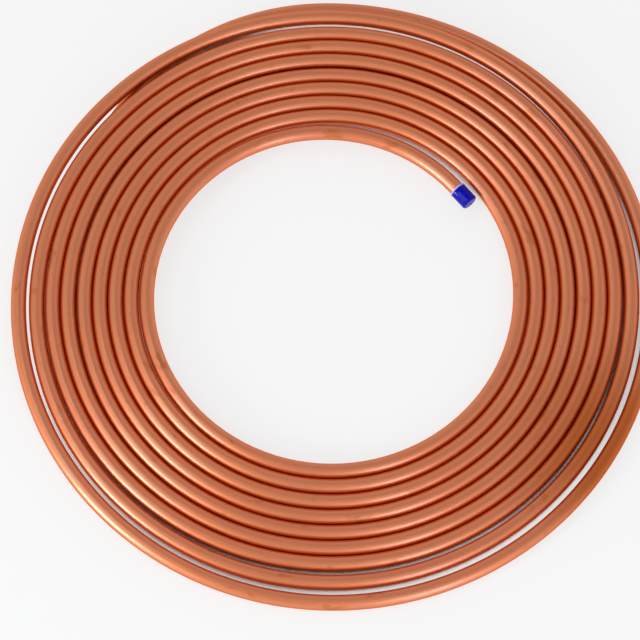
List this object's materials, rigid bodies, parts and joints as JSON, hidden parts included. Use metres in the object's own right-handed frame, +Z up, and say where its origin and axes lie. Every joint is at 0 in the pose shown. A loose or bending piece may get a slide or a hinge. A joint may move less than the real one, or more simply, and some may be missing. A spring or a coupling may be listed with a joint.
{
  "type": "copper tube coil",
  "caption": "Flat single-layer coil of soft annealed copper tube for refrigerant or water lines, with a push-on plastic cap closing each cut end.",
  "frame": {"origin": "on the floor under the middle of the coil's eye", "axes": "+Z up from the floor the coil lies on; +X towards the picture's right; +Y towards the picture's top"},
  "size_m": [0.6745, 0.6879, 0.0358],
  "materials": {
    "copper": "bright drawn and annealed, faintly tarnished",
    "blue_cap": "soft blue plastic"
  },
  "bodies": {
    "root": {"copper_tube": "copper", "inner_end_cap": "blue_cap", "outer_end_cap": "blue_cap"}
  },
  "joints": []
}
